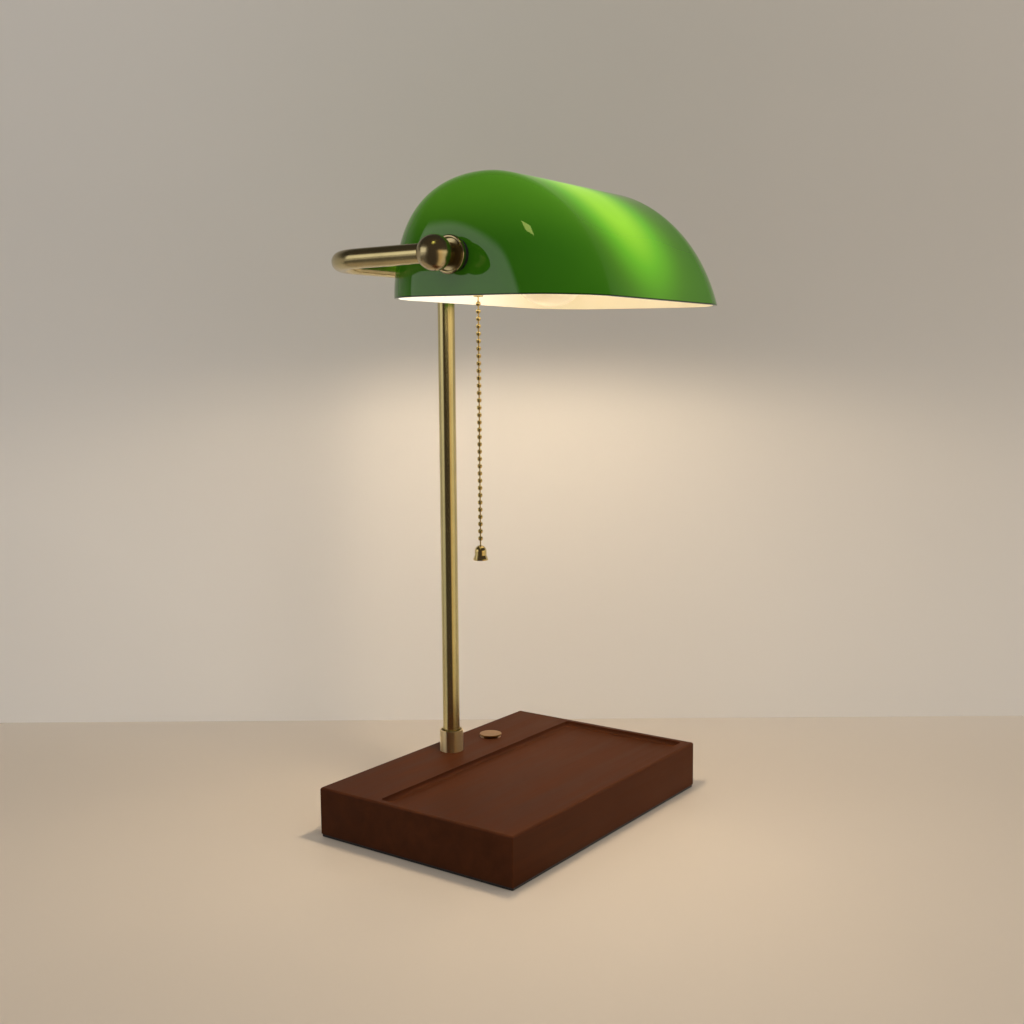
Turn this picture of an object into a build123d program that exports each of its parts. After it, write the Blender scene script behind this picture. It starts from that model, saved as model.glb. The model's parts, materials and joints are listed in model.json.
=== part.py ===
"""Banker's lamp with a wooden tray base, a brass pole and yoke, and a tilting cased-glass shade.

Millimetres. +Z is up, +X runs along the shade to the user's right, +Y from the tray to the pole strip.
The origin is the middle of the base's underside, on the surface that the lamp stands on.
"""
import math
import os

from build123d import *

os.makedirs("parts", exist_ok=True)

# Clearances
thread_clearance = 0.05
running_clearance = 0.08
face_gap = 0.3

# Wooden base with its tray
base_length = 240.0
base_depth = 164.0
block_height = 33.0
block_corner_radius = 1.0
block_edge_radius = 1.6
strip_depth = 51.0
tray_side_rim = 5.0
tray_front_rim = 8.0
tray_depth = 4.0
tray_corner_radius = 3.0
tray_cove_radius = 2.5

# Pad and ballast under the base
pad_thickness = 2.0
pad_inset = 0.6
ballast_length = 188.0
ballast_width = 92.0
ballast_thickness = 7.0
ballast_clearance = 1.0
ballast_corner_radius = 4.0
screw_shank_diameter = 3.6
screw_head_diameter = 7.2
screw_head_angle = 90.0
screw_length = 19.0
screw_inset = 11.0

# Wiring pocket under the strip, and the cord bush behind it
pocket_left = 30.0
pocket_right = 20.0
pocket_width = 30.0
pocket_depth = 20.0
pocket_corner_radius = 5.0
gland_diameter = 10.0
gland_flange_diameter = 14.0
gland_flange_thickness = 1.6
gland_bore = 6.4
gland_height = 12.0

# Push button on the strip
button_x = 44.7
button_from_back = 25.0
button_top_diameter = 17.0
button_stem_diameter = 11.0
button_height = 2.6
button_rim_height = 0.8
button_travel = 1.0
ferrule_diameter = 16.0
ferrule_below_wood = 3.0
switch_width = 18.0
switch_height = 14.0
switch_corner_radius = 0.8
plunger_diameter = 5.0
plunger_height = 1.5

# Pole, collar and the threaded nipples that hold it
pole_from_back = 21.4
pole_diameter = 12.5
nipple_diameter = 10.0
nipple_bore = 7.0
pole_below_axis = 15.0
collar_diameter = 17.6
collar_height = 16.2
collar_rim = 1.1
collar_recess_depth = 3.6
collar_edge_radius = 0.4
foot_nipple_reach = 20.0
foot_thread_below_nut = 2.0
washer_diameter = 26.0
washer_thickness = 1.5
nut_across_flats = 16.0
nut_thickness = 5.0
top_nipple_reach = 18.0
saddle_diameter = 16.0
saddle_below_centre = 1.5

# Yoke and tilt axis
tilt_z = 391.0
yoke_reach = 95.8
ball_from_shade = 20.5
ball_diameter = 21.8
yoke_bend_radius = 35.0
leg_end_from_axis = 6.0
ball_face_from_centre = 9.2
neck_diameter = 14.8
flange_diameter = 23.8
flange_rim = 2.2
flange_dish_depth = 1.4
flange_thickness = 3.2
flange_edge_radius = 0.9
nipple_into_ball = 3.7
clamp_washer_diameter = 22.0
clamp_washer_thickness = 1.2

# Cased-glass shade: the end view is two curves that meet level at the crown; at rest it leans forward
shade_half_length = 110.5
rim_below_axis = 24.6
shade_height = 81.0
crown_behind_axis = 6.4
back_behind_axis = 74.2
front_before_axis = 85.4
shade_front_slope = 74.0
back_wall_pull = 50.0
back_crown_pull = 44.6
front_crown_pull = 33.2
front_wall_pull = 55.1
round_pull = 0.55
shade_end_radius = 45.5
glass_wall = 2.6
lining_wall = 0.8
shade_trim = 25.0
shade_hole_diameter = 14.0
grommet_diameter = 20.6
grommet_outer_lip = 4.0
grommet_inner_lip = 0.8
rest_tilt = 1.1

# Pull-chain lamp holder on the left nipple
cap_outer_radius = 17.0
cap_wall = 1.0
cap_length = 13.8
cap_dome_length = 7.3
cap_face_radius = 8.5
cap_dome_radius = 17.0
hub_length = 8.3
hub_radius = 7.5
holder_shell_radius = 15.95
holder_shell_wall = 0.9
holder_shell_length = 45.0
holder_shell_overlap = 4.0
holder_lip_radius = 16.7
switch_body_length = 16.0
screw_shell_length = 24.0
screw_shell_wall = 0.6
screw_shell_radius = 14.2
contact_radius = 4.0
contact_thickness = 1.0

# Bulb
bulb_radius = 27.5
bulb_length = 99.1
bulb_glass_wall = 0.9
bulb_cap_radius = 13.4
bulb_cap_length = 23.0
bulb_insulator_length = 2.8
bulb_insulator_radius = 12.2
bulb_tip_radius = 4.6
bulb_tip_thickness = 1.0
bulb_neck_radius = 12.8
bulb_shoulder_angle = 125.0

# Pull chain
chain_from_shade_end = 22.7
guide_radius = 2.6
guide_mouth_radius = 3.2
guide_mouth_wall = 0.6
guide_mouth_length = 2.0
guide_below_axis = 24.2
guide_depth_in_body = 3.0
bead_radius = 1.6
bead_pitch = 4.65
bead_count = 33
link_radius = 0.45
first_bead_below_axis = 28.7
stop_bead_rise = 22.5
pull_travel = 8.0
pull_end_room = 2.0
swing_angle = 20.0
dumbbell_ball_radius = 1.0
bell_radius = 3.8
bell_lip_radius = 4.7
bell_height = 9.6
bell_lip_height = 1.6
bell_link = 2.8

# Inner lead from the base switch to the lamp holder
lead_diameter = 3.6
lead_height = 7.0
lead_foot_radius = 6.0
lead_top_radius = 5.0
lead_ball_radius = 4.0

# Places that follow from the sizes above
base_top = pad_thickness + block_height
base_back = base_depth / 2
pole_y = base_back - pole_from_back
button_y = base_back - button_from_back
tilt_y = pole_y - yoke_reach
ball_x = shade_half_length + ball_from_shade
pole_top = tilt_z - pole_below_axis
shade_rim_z = tilt_z - rim_below_axis
shade_crown_y = tilt_y + crown_behind_axis
shade_back_y = tilt_y + back_behind_axis
shade_front_y = tilt_y - front_before_axis
guide_bottom_z = tilt_z - guide_below_axis
first_bead_z = tilt_z - first_bead_below_axis
tray_floor = base_top - tray_depth
tray_length = base_length - 2 * tray_side_rim
tray_width = base_depth - strip_depth - tray_front_rim
tray_y = base_back - strip_depth - tray_width / 2
pocket_ceiling = pad_thickness + pocket_depth
pocket_length = pocket_left + button_x + pocket_right
pocket_x = (button_x + pocket_right - pocket_left) / 2
ballast_ceiling = pad_thickness + ballast_thickness + ballast_clearance
ballast_bottom = ballast_ceiling - ballast_thickness
screw_spread_x = ballast_length - 2 * screw_inset
screw_spread_y = ballast_width - 2 * screw_inset
nipple_radius = nipple_diameter / 2
thread_radius = nipple_radius + thread_clearance
pole_radius = pole_diameter / 2
tube_bore_radius = thread_radius
washer_bottom = pocket_ceiling - washer_thickness
nut_bottom = washer_bottom - nut_thickness
yoke_z = tilt_z
shade_inner_half = shade_half_length - glass_wall - lining_wall
flange_face = shade_half_length + grommet_outer_lip + face_gap
clamp_outer = shade_inner_half - grommet_inner_lip - face_gap
clamp_inner = clamp_outer - clamp_washer_thickness
ball_face = ball_x - ball_face_from_centre
nipple_outer_end = ball_face + nipple_into_ball
hub_inner = clamp_inner - hub_length
cap_mouth = clamp_inner - cap_length
holder_back = cap_mouth + holder_shell_overlap
body_front = holder_back - switch_body_length
shell_front = holder_back - holder_shell_length
screw_shell_front = body_front - screw_shell_length
bulb_tip_x = -(body_front - contact_thickness)
chain_x = -(shade_half_length - chain_from_shade_end)
guide_bore = bead_radius + face_gap
guide_throat = link_radius + face_gap
guide_top_z = tilt_z - holder_shell_radius + holder_shell_wall + guide_depth_in_body
stop_bead_z = first_bead_z + stop_bead_rise
pull_bore_top = stop_bead_z + bead_radius + pull_end_room
throat_top_z = stop_bead_z - pull_travel - bead_radius - face_gap
second_bead_z = first_bead_z - bead_pitch
last_bead_z = first_bead_z - (bead_count - 1) * bead_pitch
bell_top_z = last_bead_z - bell_link - bead_radius

tilt_axis = Axis((0, tilt_y, tilt_z), (1, 0, 0))
tilt_plane = Plane(origin=(0, tilt_y, tilt_z), x_dir=(1, 0, 0), z_dir=(0, -1, 0))
sides = (("left", -1), ("right", 1))


def upright_plane(x, y):
    """Drawing plane through a vertical axis: first coordinate is the radius, second the height."""
    return Plane(origin=(x, y, 0), x_dir=(1, 0, 0), z_dir=(0, -1, 0))


def upright_axis(x, y):
    return Axis((x, y, 0), (0, 0, 1))


def finish(piece, name):
    """Names a finished piece and writes its file."""
    piece.part.label = name
    export_step(piece.part, f"parts/{name}.step")


# Wooden base: block, tray, underside pockets and bores
with BuildPart() as base_block:
    with BuildSketch(Plane.XY.offset(pad_thickness)):
        RectangleRounded(base_length, base_depth, block_corner_radius)
    extrude(amount=block_height)
    fillet(base_block.faces().sort_by(Axis.Z)[-1].edges(), radius=block_edge_radius)
    with BuildSketch(Plane.XY.offset(base_top)):
        with Locations((0, tray_y)):
            RectangleRounded(tray_length, tray_width, tray_corner_radius)
    extrude(amount=-tray_depth, mode=Mode.SUBTRACT)
    floor_face = base_block.faces().sort_by_distance((0, tray_y, tray_floor))[0]
    fillet(floor_face.edges(), radius=tray_cove_radius)
    with BuildSketch(Plane.XY.offset(pad_thickness)):
        with Locations((pocket_x, pole_y)):
            RectangleRounded(pocket_length, pocket_width, pocket_corner_radius)
    extrude(amount=pocket_depth, mode=Mode.SUBTRACT)
    with BuildSketch(Plane.XY.offset(pad_thickness)):
        with Locations((0, tray_y)):
            RectangleRounded(
                ballast_length + 2 * ballast_clearance,
                ballast_width + 2 * ballast_clearance,
                ballast_corner_radius + ballast_clearance,
            )
    extrude(amount=ballast_ceiling - pad_thickness, mode=Mode.SUBTRACT)
    with BuildSketch(Plane.XY.offset(ballast_bottom)):
        with Locations((0, tray_y)):
            with GridLocations(screw_spread_x, screw_spread_y, 2, 2):
                Circle(screw_shank_diameter / 2 + thread_clearance)
    extrude(amount=screw_length + face_gap, mode=Mode.SUBTRACT)
    with BuildSketch(Plane.XY.offset(pocket_ceiling)):
        with Locations((0, pole_y)):
            Circle(thread_radius + face_gap)
        with Locations((button_x, button_y)):
            Circle(ferrule_diameter / 2 + thread_clearance)
    extrude(amount=base_top - pocket_ceiling, mode=Mode.SUBTRACT)
    with BuildSketch(Plane(origin=(0, base_back, gland_height), z_dir=(0, 1, 0))):
        Circle(gland_diameter / 2 + thread_clearance)
    extrude(amount=-(base_back - pole_y), mode=Mode.SUBTRACT)
finish(base_block, "base_block")

with BuildPart() as base_pad:
    with BuildSketch():
        RectangleRounded(base_length - 2 * pad_inset, base_depth - 2 * pad_inset, block_corner_radius)
    extrude(amount=pad_thickness)
finish(base_pad, "base_pad")

# Steel ballast under the tray, held by four countersunk wood screws
head_height = (screw_head_diameter - screw_shank_diameter) / 2
with BuildPart() as ballast_plate:
    with BuildSketch(Plane.XY.offset(ballast_bottom)):
        with Locations((0, tray_y)):
            RectangleRounded(ballast_length, ballast_width, ballast_corner_radius)
    extrude(amount=ballast_thickness)
    with Locations(Plane(origin=(0, tray_y, ballast_bottom), z_dir=(0, 0, -1))):
        with GridLocations(screw_spread_x, screw_spread_y, 2, 2):
            CounterSinkHole(
                radius=screw_shank_diameter / 2 + thread_clearance,
                counter_sink_radius=screw_head_diameter / 2 + thread_clearance,
                counter_sink_angle=screw_head_angle,
            )
finish(ballast_plate, "ballast_plate")

with BuildPart() as ballast_screws:
    with BuildSketch(Plane.XY.offset(ballast_bottom)):
        with Locations((0, tray_y)):
            with GridLocations(screw_spread_x, screw_spread_y, 2, 2):
                Circle(screw_head_diameter / 2)
    extrude(amount=head_height, taper=screw_head_angle / 2)
    with BuildSketch(Plane.XY.offset(ballast_bottom)):
        with Locations((0, tray_y)):
            with GridLocations(screw_spread_x, screw_spread_y, 2, 2):
                Circle(screw_shank_diameter / 2)
    extrude(amount=screw_length)
finish(ballast_screws, "ballast_screws")

# Cord bush in the back wall
gland_wall = base_back - pole_y - pocket_width / 2
with BuildPart() as cord_gland:
    with BuildSketch(Plane(origin=(0, base_back, gland_height), z_dir=(0, 1, 0))):
        Circle(gland_flange_diameter / 2)
    extrude(amount=gland_flange_thickness)
    fillet(cord_gland.faces().sort_by(Axis.Y)[-1].edges(), radius=gland_flange_thickness / 2)
    with BuildSketch(Plane(origin=(0, base_back, gland_height), z_dir=(0, 1, 0))):
        Circle(gland_diameter / 2)
    extrude(amount=-gland_wall)
    with BuildSketch(Plane(origin=(0, base_back + gland_flange_thickness, gland_height), z_dir=(0, 1, 0))):
        Circle(gland_bore / 2)
    extrude(amount=-(gland_wall + gland_flange_thickness), mode=Mode.SUBTRACT)
finish(cord_gland, "cord_gland")

# Push button: a flat cap with a tapered underside that sinks into a coned ferrule
button_axis = upright_axis(button_x, button_y)
button_plane = upright_plane(button_x, button_y)
stem_radius = button_stem_diameter / 2
cap_radius = button_top_diameter / 2
cone_height = button_height - button_rim_height
cone_slope = (cap_radius - stem_radius) / cone_height
seat_depth = button_travel + face_gap
seat_radius = stem_radius + running_clearance + cone_slope * seat_depth
ferrule_bottom = pocket_ceiling - ferrule_below_wood
stem_bottom = ferrule_bottom + plunger_height + face_gap + button_travel
with BuildPart() as button_cap:
    with BuildSketch(button_plane):
        with BuildLine():
            Polyline(
                (0, stem_bottom),
                (stem_radius, stem_bottom),
                (stem_radius, base_top),
                (cap_radius, base_top + cone_height),
                (cap_radius, base_top + button_height),
                (0, base_top + button_height),
                close=True,
            )
        make_face()
    revolve(axis=button_axis)
    fillet(button_cap.edges().group_by(Axis.Z)[-1], radius=button_rim_height / 2)
finish(button_cap, "button_cap")

with BuildPart() as button_ferrule:
    with BuildSketch(button_plane):
        with BuildLine():
            Polyline(
                (stem_radius + running_clearance, ferrule_bottom),
                (ferrule_diameter / 2, ferrule_bottom),
                (ferrule_diameter / 2, base_top),
                (seat_radius, base_top),
                (stem_radius + running_clearance, base_top - seat_depth),
                close=True,
            )
        make_face()
    revolve(axis=button_axis)
finish(button_ferrule, "button_ferrule")

with BuildPart() as button_switch:
    with BuildSketch(Plane.XY.offset(ferrule_bottom)):
        with Locations((button_x, button_y)):
            RectangleRounded(switch_width, switch_width, switch_corner_radius)
    extrude(amount=-switch_height)
    with BuildSketch(Plane.XY.offset(ferrule_bottom)):
        with Locations((button_x, button_y)):
            Circle(plunger_diameter / 2)
    extrude(amount=plunger_height)
finish(button_switch, "button_switch")

# Pole with its foot collar, nipples, washer and nut
pole_axis = upright_axis(0, pole_y)
pole_plane = upright_plane(0, pole_y)
with BuildPart() as pole_tube:
    with BuildSketch(Plane.XY.offset(base_top)):
        with Locations((0, pole_y)):
            Circle(pole_radius)
            Circle(tube_bore_radius, mode=Mode.SUBTRACT)
    extrude(amount=pole_top - base_top)
finish(pole_tube, "pole_tube")

collar_radius = collar_diameter / 2
with BuildPart() as pole_collar:
    with BuildSketch(pole_plane):
        with BuildLine():
            Polyline(
                (pole_radius + thread_clearance, base_top),
                (collar_radius, base_top),
                (collar_radius, base_top + collar_height),
                (collar_radius - collar_rim, base_top + collar_height),
                (collar_radius - collar_rim, base_top + collar_height - collar_recess_depth),
                (pole_radius + thread_clearance, base_top + collar_height - collar_recess_depth),
                close=True,
            )
        make_face()
    revolve(axis=pole_axis)
    fillet(pole_collar.edges().group_by(Axis.Z)[-1], radius=collar_edge_radius)
finish(pole_collar, "pole_collar")


def nipple(bottom, top):
    """Hollow threaded nipple on the pole's axis."""
    with BuildPart() as made:
        with BuildSketch(Plane.XY.offset(bottom)):
            with Locations((0, pole_y)):
                Circle(nipple_radius)
                Circle(nipple_bore / 2, mode=Mode.SUBTRACT)
        extrude(amount=top - bottom)
    return made


foot_nipple = nipple(nut_bottom - foot_thread_below_nut, base_top + foot_nipple_reach)
finish(foot_nipple, "foot_nipple")
top_nipple = nipple(pole_top - top_nipple_reach, yoke_z - pole_radius - face_gap)
finish(top_nipple, "top_nipple")

with BuildPart() as foot_washer:
    with BuildSketch(Plane.XY.offset(washer_bottom)):
        with Locations((0, pole_y)):
            Circle(washer_diameter / 2)
            Circle(thread_radius, mode=Mode.SUBTRACT)
    extrude(amount=washer_thickness)
finish(foot_washer, "foot_washer")

with BuildPart() as foot_nut:
    with BuildSketch(Plane.XY.offset(nut_bottom)):
        with Locations((0, pole_y)):
            RegularPolygon(radius=nut_across_flats / 2, side_count=6, major_radius=False)
            Circle(thread_radius, mode=Mode.SUBTRACT)
    extrude(amount=nut_thickness)
finish(foot_nut, "foot_nut")

# Yoke: one bent tube, brazed to a saddle on the pole
leg_end_y = tilt_y + leg_end_from_axis
with BuildPart() as yoke_tube:
    with BuildLine() as yoke_path:
        FilletPolyline(
            (-ball_x, leg_end_y, yoke_z),
            (-ball_x, pole_y, yoke_z),
            (ball_x, pole_y, yoke_z),
            (ball_x, leg_end_y, yoke_z),
            radius=yoke_bend_radius,
        )
    with BuildSketch(Plane(origin=(-ball_x, leg_end_y, yoke_z), z_dir=(0, 1, 0))):
        Circle(pole_radius)
        Circle(tube_bore_radius, mode=Mode.SUBTRACT)
    sweep(path=yoke_path.wires()[0])
    with BuildSketch(Plane.XY.offset(yoke_z - pole_diameter)):
        with Locations((0, pole_y)):
            Circle(nipple_bore / 2)
    extrude(amount=pole_diameter, mode=Mode.SUBTRACT)
finish(yoke_tube, "yoke_tube")

with BuildPart() as yoke_saddle:
    with BuildSketch(Plane.XY.offset(pole_top)):
        with Locations((0, pole_y)):
            Circle(saddle_diameter / 2)
            Circle(thread_radius, mode=Mode.SUBTRACT)
    extrude(amount=yoke_z - saddle_below_centre - pole_top)
    with BuildSketch(Plane.YZ.offset(-saddle_diameter)):
        with Locations((pole_y, yoke_z)):
            Circle(pole_radius)
    extrude(amount=2 * saddle_diameter, mode=Mode.SUBTRACT)
finish(yoke_saddle, "yoke_saddle")

# Tilt joint at each end of the yoke: ball, flanged neck, hollow nipple, grommet and washer
ball_radius = ball_diameter / 2
wire_radius = nipple_bore / 2
for side, sign in sides:
    with BuildPart() as ball:
        with Locations((sign * ball_x, tilt_y, tilt_z)):
            Sphere(ball_radius)
        split(bisect_by=Plane(origin=(sign * ball_face, 0, 0), z_dir=(-sign, 0, 0)), keep=Keep.BOTTOM)
        with BuildSketch(Plane(origin=(sign * ball_x, leg_end_y, tilt_z), z_dir=(0, 1, 0))):
            Circle(pole_radius + thread_clearance)
        extrude(amount=ball_radius, mode=Mode.SUBTRACT)
        with BuildSketch(Plane(origin=(sign * ball_x, tilt_y - wire_radius, tilt_z), z_dir=(0, 1, 0))):
            Circle(wire_radius)
        extrude(amount=ball_radius, mode=Mode.SUBTRACT)
        with BuildSketch(Plane(origin=(sign * nipple_outer_end, tilt_y, tilt_z), z_dir=(-sign, 0, 0))):
            Circle(thread_radius)
        extrude(amount=nipple_into_ball, mode=Mode.SUBTRACT)
        wire_start = sign * (ball_x + wire_radius)
        with BuildSketch(Plane(origin=(wire_start, tilt_y, tilt_z), z_dir=(-sign, 0, 0))):
            Circle(wire_radius)
        extrude(amount=ball_radius, mode=Mode.SUBTRACT)
    finish(ball, f"ball_{side}")

    rim_face = flange_face + flange_thickness
    dish_face = rim_face - flange_dish_depth
    flange_radius = flange_diameter / 2
    with BuildPart() as flange:
        with BuildSketch(tilt_plane):
            with BuildLine():
                Polyline(
                    (sign * flange_face, thread_radius),
                    (sign * flange_face, flange_radius),
                    (sign * rim_face, flange_radius),
                    (sign * rim_face, flange_radius - flange_rim),
                    (sign * dish_face, flange_radius - flange_rim),
                    (sign * dish_face, neck_diameter / 2),
                    (sign * ball_face, neck_diameter / 2),
                    (sign * ball_face, thread_radius),
                    close=True,
                )
            make_face()
        revolve(axis=tilt_axis)
        rings = flange.edges().filter_by(GeomType.CIRCLE).group_by(SortBy.RADIUS)
        dish_lip = rings[-2].sort_by(lambda ring: abs(ring.arc_center.X))[-1]
        fillet(rings[-1] + [dish_lip], radius=flange_edge_radius)
    finish(flange, f"flange_{side}")

    nipple_inner_end = hub_inner if side == "left" else clamp_inner - nut_thickness - foot_thread_below_nut
    with BuildPart() as pivot_nipple:
        with BuildSketch(Plane(origin=(sign * nipple_inner_end, tilt_y, tilt_z), z_dir=(sign, 0, 0))):
            Circle(nipple_radius)
            Circle(nipple_bore / 2, mode=Mode.SUBTRACT)
        extrude(amount=nipple_outer_end - nipple_inner_end)
    finish(pivot_nipple, f"pivot_nipple_{side}")

    with BuildPart() as clamp_washer:
        with BuildSketch(Plane(origin=(sign * clamp_inner, tilt_y, tilt_z), z_dir=(sign, 0, 0))):
            Circle(clamp_washer_diameter / 2)
            Circle(thread_radius, mode=Mode.SUBTRACT)
        extrude(amount=clamp_washer_thickness)
    finish(clamp_washer, f"clamp_washer_{side}")

    grommet_bore = nipple_radius + running_clearance
    sleeve_radius = shade_hole_diameter / 2 - thread_clearance
    with BuildPart() as grommet:
        with BuildSketch(tilt_plane):
            with BuildLine():
                Polyline(
                    (sign * (shade_inner_half - grommet_inner_lip), grommet_bore),
                    (sign * (shade_half_length + grommet_outer_lip), grommet_bore),
                    (sign * (shade_half_length + grommet_outer_lip), grommet_diameter / 2),
                    (sign * shade_half_length, grommet_diameter / 2),
                    (sign * shade_half_length, sleeve_radius),
                    (sign * shade_inner_half, sleeve_radius),
                    (sign * shade_inner_half, grommet_diameter / 2),
                    (sign * (shade_inner_half - grommet_inner_lip), grommet_diameter / 2),
                    close=True,
                )
            make_face()
        revolve(axis=tilt_axis)
    finish(grommet, f"grommet_{side}")

with BuildPart() as clamp_nut:
    with BuildSketch(Plane(origin=(clamp_inner, tilt_y, tilt_z), z_dir=(-1, 0, 0))):
        RegularPolygon(radius=nut_across_flats / 2, side_count=6, major_radius=False)
        Circle(thread_radius, mode=Mode.SUBTRACT)
    extrude(amount=nut_thickness)
finish(clamp_nut, "clamp_nut")


def shade_form(inset, cut_at_rim):
    """Solid form of the shade, drawn in by inset, cut at the rim or running on below it."""
    rise = math.radians(shade_front_slope)
    front_up = Vector(math.cos(rise), math.sin(rise))
    front_rim = Vector(shade_front_y + inset / math.sin(rise), shade_rim_z)
    back_rim = Vector(shade_back_y - inset, shade_rim_z)
    crown = Vector(shade_crown_y, shade_rim_z + shade_height - inset)
    below = Vector(0, -shade_trim)
    back_up = Vector(0, back_wall_pull - round_pull * inset)
    crown_back = Vector(back_crown_pull - round_pull * inset, 0)
    crown_front = Vector(front_crown_pull - round_pull * inset, 0)
    front_pull = front_up * (front_wall_pull - round_pull * inset)
    with BuildPart() as form:
        with BuildSketch(Plane.YZ):
            with BuildLine():
                Line(back_rim + below, back_rim)
                Bezier(back_rim, back_rim + back_up, crown + crown_back, crown)
                Bezier(crown, crown - crown_front, front_rim + front_pull, front_rim)
                Line(front_rim, front_rim - front_up * shade_trim)
                Line(front_rim - front_up * shade_trim, back_rim + below)
            make_face()
        extrude(amount=shade_half_length - inset, both=True)
        end_edges = form.faces().filter_by(Axis.X).edges().sort_by(Axis.Z)[2:]
        fillet(end_edges, radius=shade_end_radius - inset)
        if cut_at_rim:
            split(bisect_by=Plane.XY.offset(shade_rim_z), keep=Keep.TOP)
    return form.part


def shade_shell(outer_inset, wall):
    """Shell between two shade forms with a hole at each end, turned to its tilt at rest."""
    with BuildPart() as level_shell:
        add(shade_form(outer_inset, cut_at_rim=True))
        add(shade_form(outer_inset + wall, cut_at_rim=False), mode=Mode.SUBTRACT)
        with BuildSketch(Plane(origin=(-shade_half_length, tilt_y, tilt_z), z_dir=(1, 0, 0))):
            Circle(shade_hole_diameter / 2)
        extrude(amount=2 * shade_half_length, mode=Mode.SUBTRACT)
    return level_shell.part.rotate(tilt_axis, rest_tilt)


# Shade: green glass cased over a white lining
with BuildPart() as shade_glass:
    add(shade_shell(0, glass_wall))
finish(shade_glass, "shade_glass")

with BuildPart() as shade_lining:
    add(shade_shell(glass_wall, lining_wall))
finish(shade_lining, "shade_lining")

# Pull-chain lamp holder: spun cap, switch body, shell, screw shell and contact
with BuildPart() as holder_cap:
    dome_end = clamp_inner - cap_dome_length
    with BuildSketch(tilt_plane):
        with BuildLine():
            Line((-clamp_inner, thread_radius), (-clamp_inner, cap_face_radius))
            RadiusArc((-clamp_inner, cap_face_radius), (-dome_end, cap_outer_radius), -cap_dome_radius)
            Polyline(
                (-dome_end, cap_outer_radius),
                (-cap_mouth, cap_outer_radius),
                (-cap_mouth, cap_outer_radius - cap_wall),
                (-(dome_end - cap_wall), cap_outer_radius - cap_wall),
                (-(clamp_inner - 2 * cap_wall), cap_face_radius),
                (-(clamp_inner - 2 * cap_wall), hub_radius),
                (-hub_inner, hub_radius),
                (-hub_inner, thread_radius),
                (-clamp_inner, thread_radius),
            )
        make_face()
    revolve(axis=tilt_axis)
finish(holder_cap, "holder_cap")

body_radius = holder_shell_radius - holder_shell_wall - thread_clearance
with BuildPart() as switch_body:
    with BuildSketch(Plane(origin=(-holder_back, tilt_y, tilt_z), z_dir=(1, 0, 0))):
        Circle(body_radius)
    extrude(amount=switch_body_length)
    with BuildSketch(Plane.XY.offset(tilt_z - cap_outer_radius)):
        with Locations((chain_x, tilt_y)):
            Circle(guide_radius + thread_clearance)
    extrude(amount=guide_top_z - tilt_z + cap_outer_radius, mode=Mode.SUBTRACT)
    with BuildSketch(Plane.XY.offset(guide_top_z)):
        with Locations((chain_x, tilt_y)):
            Circle(guide_bore)
    extrude(amount=pull_bore_top - guide_top_z, mode=Mode.SUBTRACT)
finish(switch_body, "switch_body")

with BuildPart() as holder_shell:
    with BuildSketch(tilt_plane):
        with BuildLine():
            Polyline(
                (-holder_back, holder_shell_radius - holder_shell_wall),
                (-holder_back, holder_shell_radius),
                (-(shell_front + cap_wall), holder_shell_radius),
                (-(shell_front + cap_wall), holder_lip_radius),
                (-shell_front, holder_lip_radius),
                (-shell_front, holder_shell_radius - holder_shell_wall),
                close=True,
            )
        make_face()
    revolve(axis=tilt_axis)
    with BuildSketch(Plane.XY.offset(tilt_z - cap_outer_radius)):
        with Locations((chain_x, tilt_y)):
            Circle(guide_radius + thread_clearance)
    extrude(amount=cap_outer_radius, mode=Mode.SUBTRACT)
finish(holder_shell, "holder_shell")

with BuildPart() as screw_shell:
    with BuildSketch(tilt_plane):
        with BuildLine():
            Polyline(
                (-body_front, contact_radius + contact_thickness),
                (-body_front, screw_shell_radius),
                (-screw_shell_front, screw_shell_radius),
                (-screw_shell_front, screw_shell_radius - screw_shell_wall),
                (-(body_front - screw_shell_wall), screw_shell_radius - screw_shell_wall),
                (-(body_front - screw_shell_wall), contact_radius + contact_thickness),
                close=True,
            )
        make_face()
    revolve(axis=tilt_axis)
finish(screw_shell, "screw_shell")

with BuildPart() as centre_contact:
    with BuildSketch(Plane(origin=(-body_front, tilt_y, tilt_z), z_dir=(1, 0, 0))):
        Circle(contact_radius)
    extrude(amount=contact_thickness)
finish(centre_contact, "centre_contact")

# Bulb, screwed into the holder and lying along the shade
insulator_x = bulb_tip_x + bulb_tip_thickness
bulb_cap_x = insulator_x + bulb_insulator_length
glass_x = bulb_cap_x + bulb_cap_length
bulb_centre_x = bulb_tip_x + bulb_length - bulb_radius
with BuildPart() as bulb_tip:
    with BuildSketch(Plane(origin=(bulb_tip_x, tilt_y, tilt_z), z_dir=(1, 0, 0))):
        Circle(bulb_tip_radius)
    extrude(amount=bulb_tip_thickness)
finish(bulb_tip, "bulb_tip")

with BuildPart() as bulb_insulator:
    with BuildSketch(tilt_plane):
        with BuildLine():
            Polyline(
                (insulator_x, 0),
                (insulator_x, bulb_tip_radius),
                (bulb_cap_x, bulb_insulator_radius),
                (bulb_cap_x, 0),
                close=True,
            )
        make_face()
    revolve(axis=tilt_axis)
finish(bulb_insulator, "bulb_insulator")

with BuildPart() as bulb_cap:
    with BuildSketch(Plane(origin=(bulb_cap_x, tilt_y, tilt_z), z_dir=(1, 0, 0))):
        Circle(bulb_cap_radius)
    extrude(amount=bulb_cap_length)
finish(bulb_cap, "bulb_cap")


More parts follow.
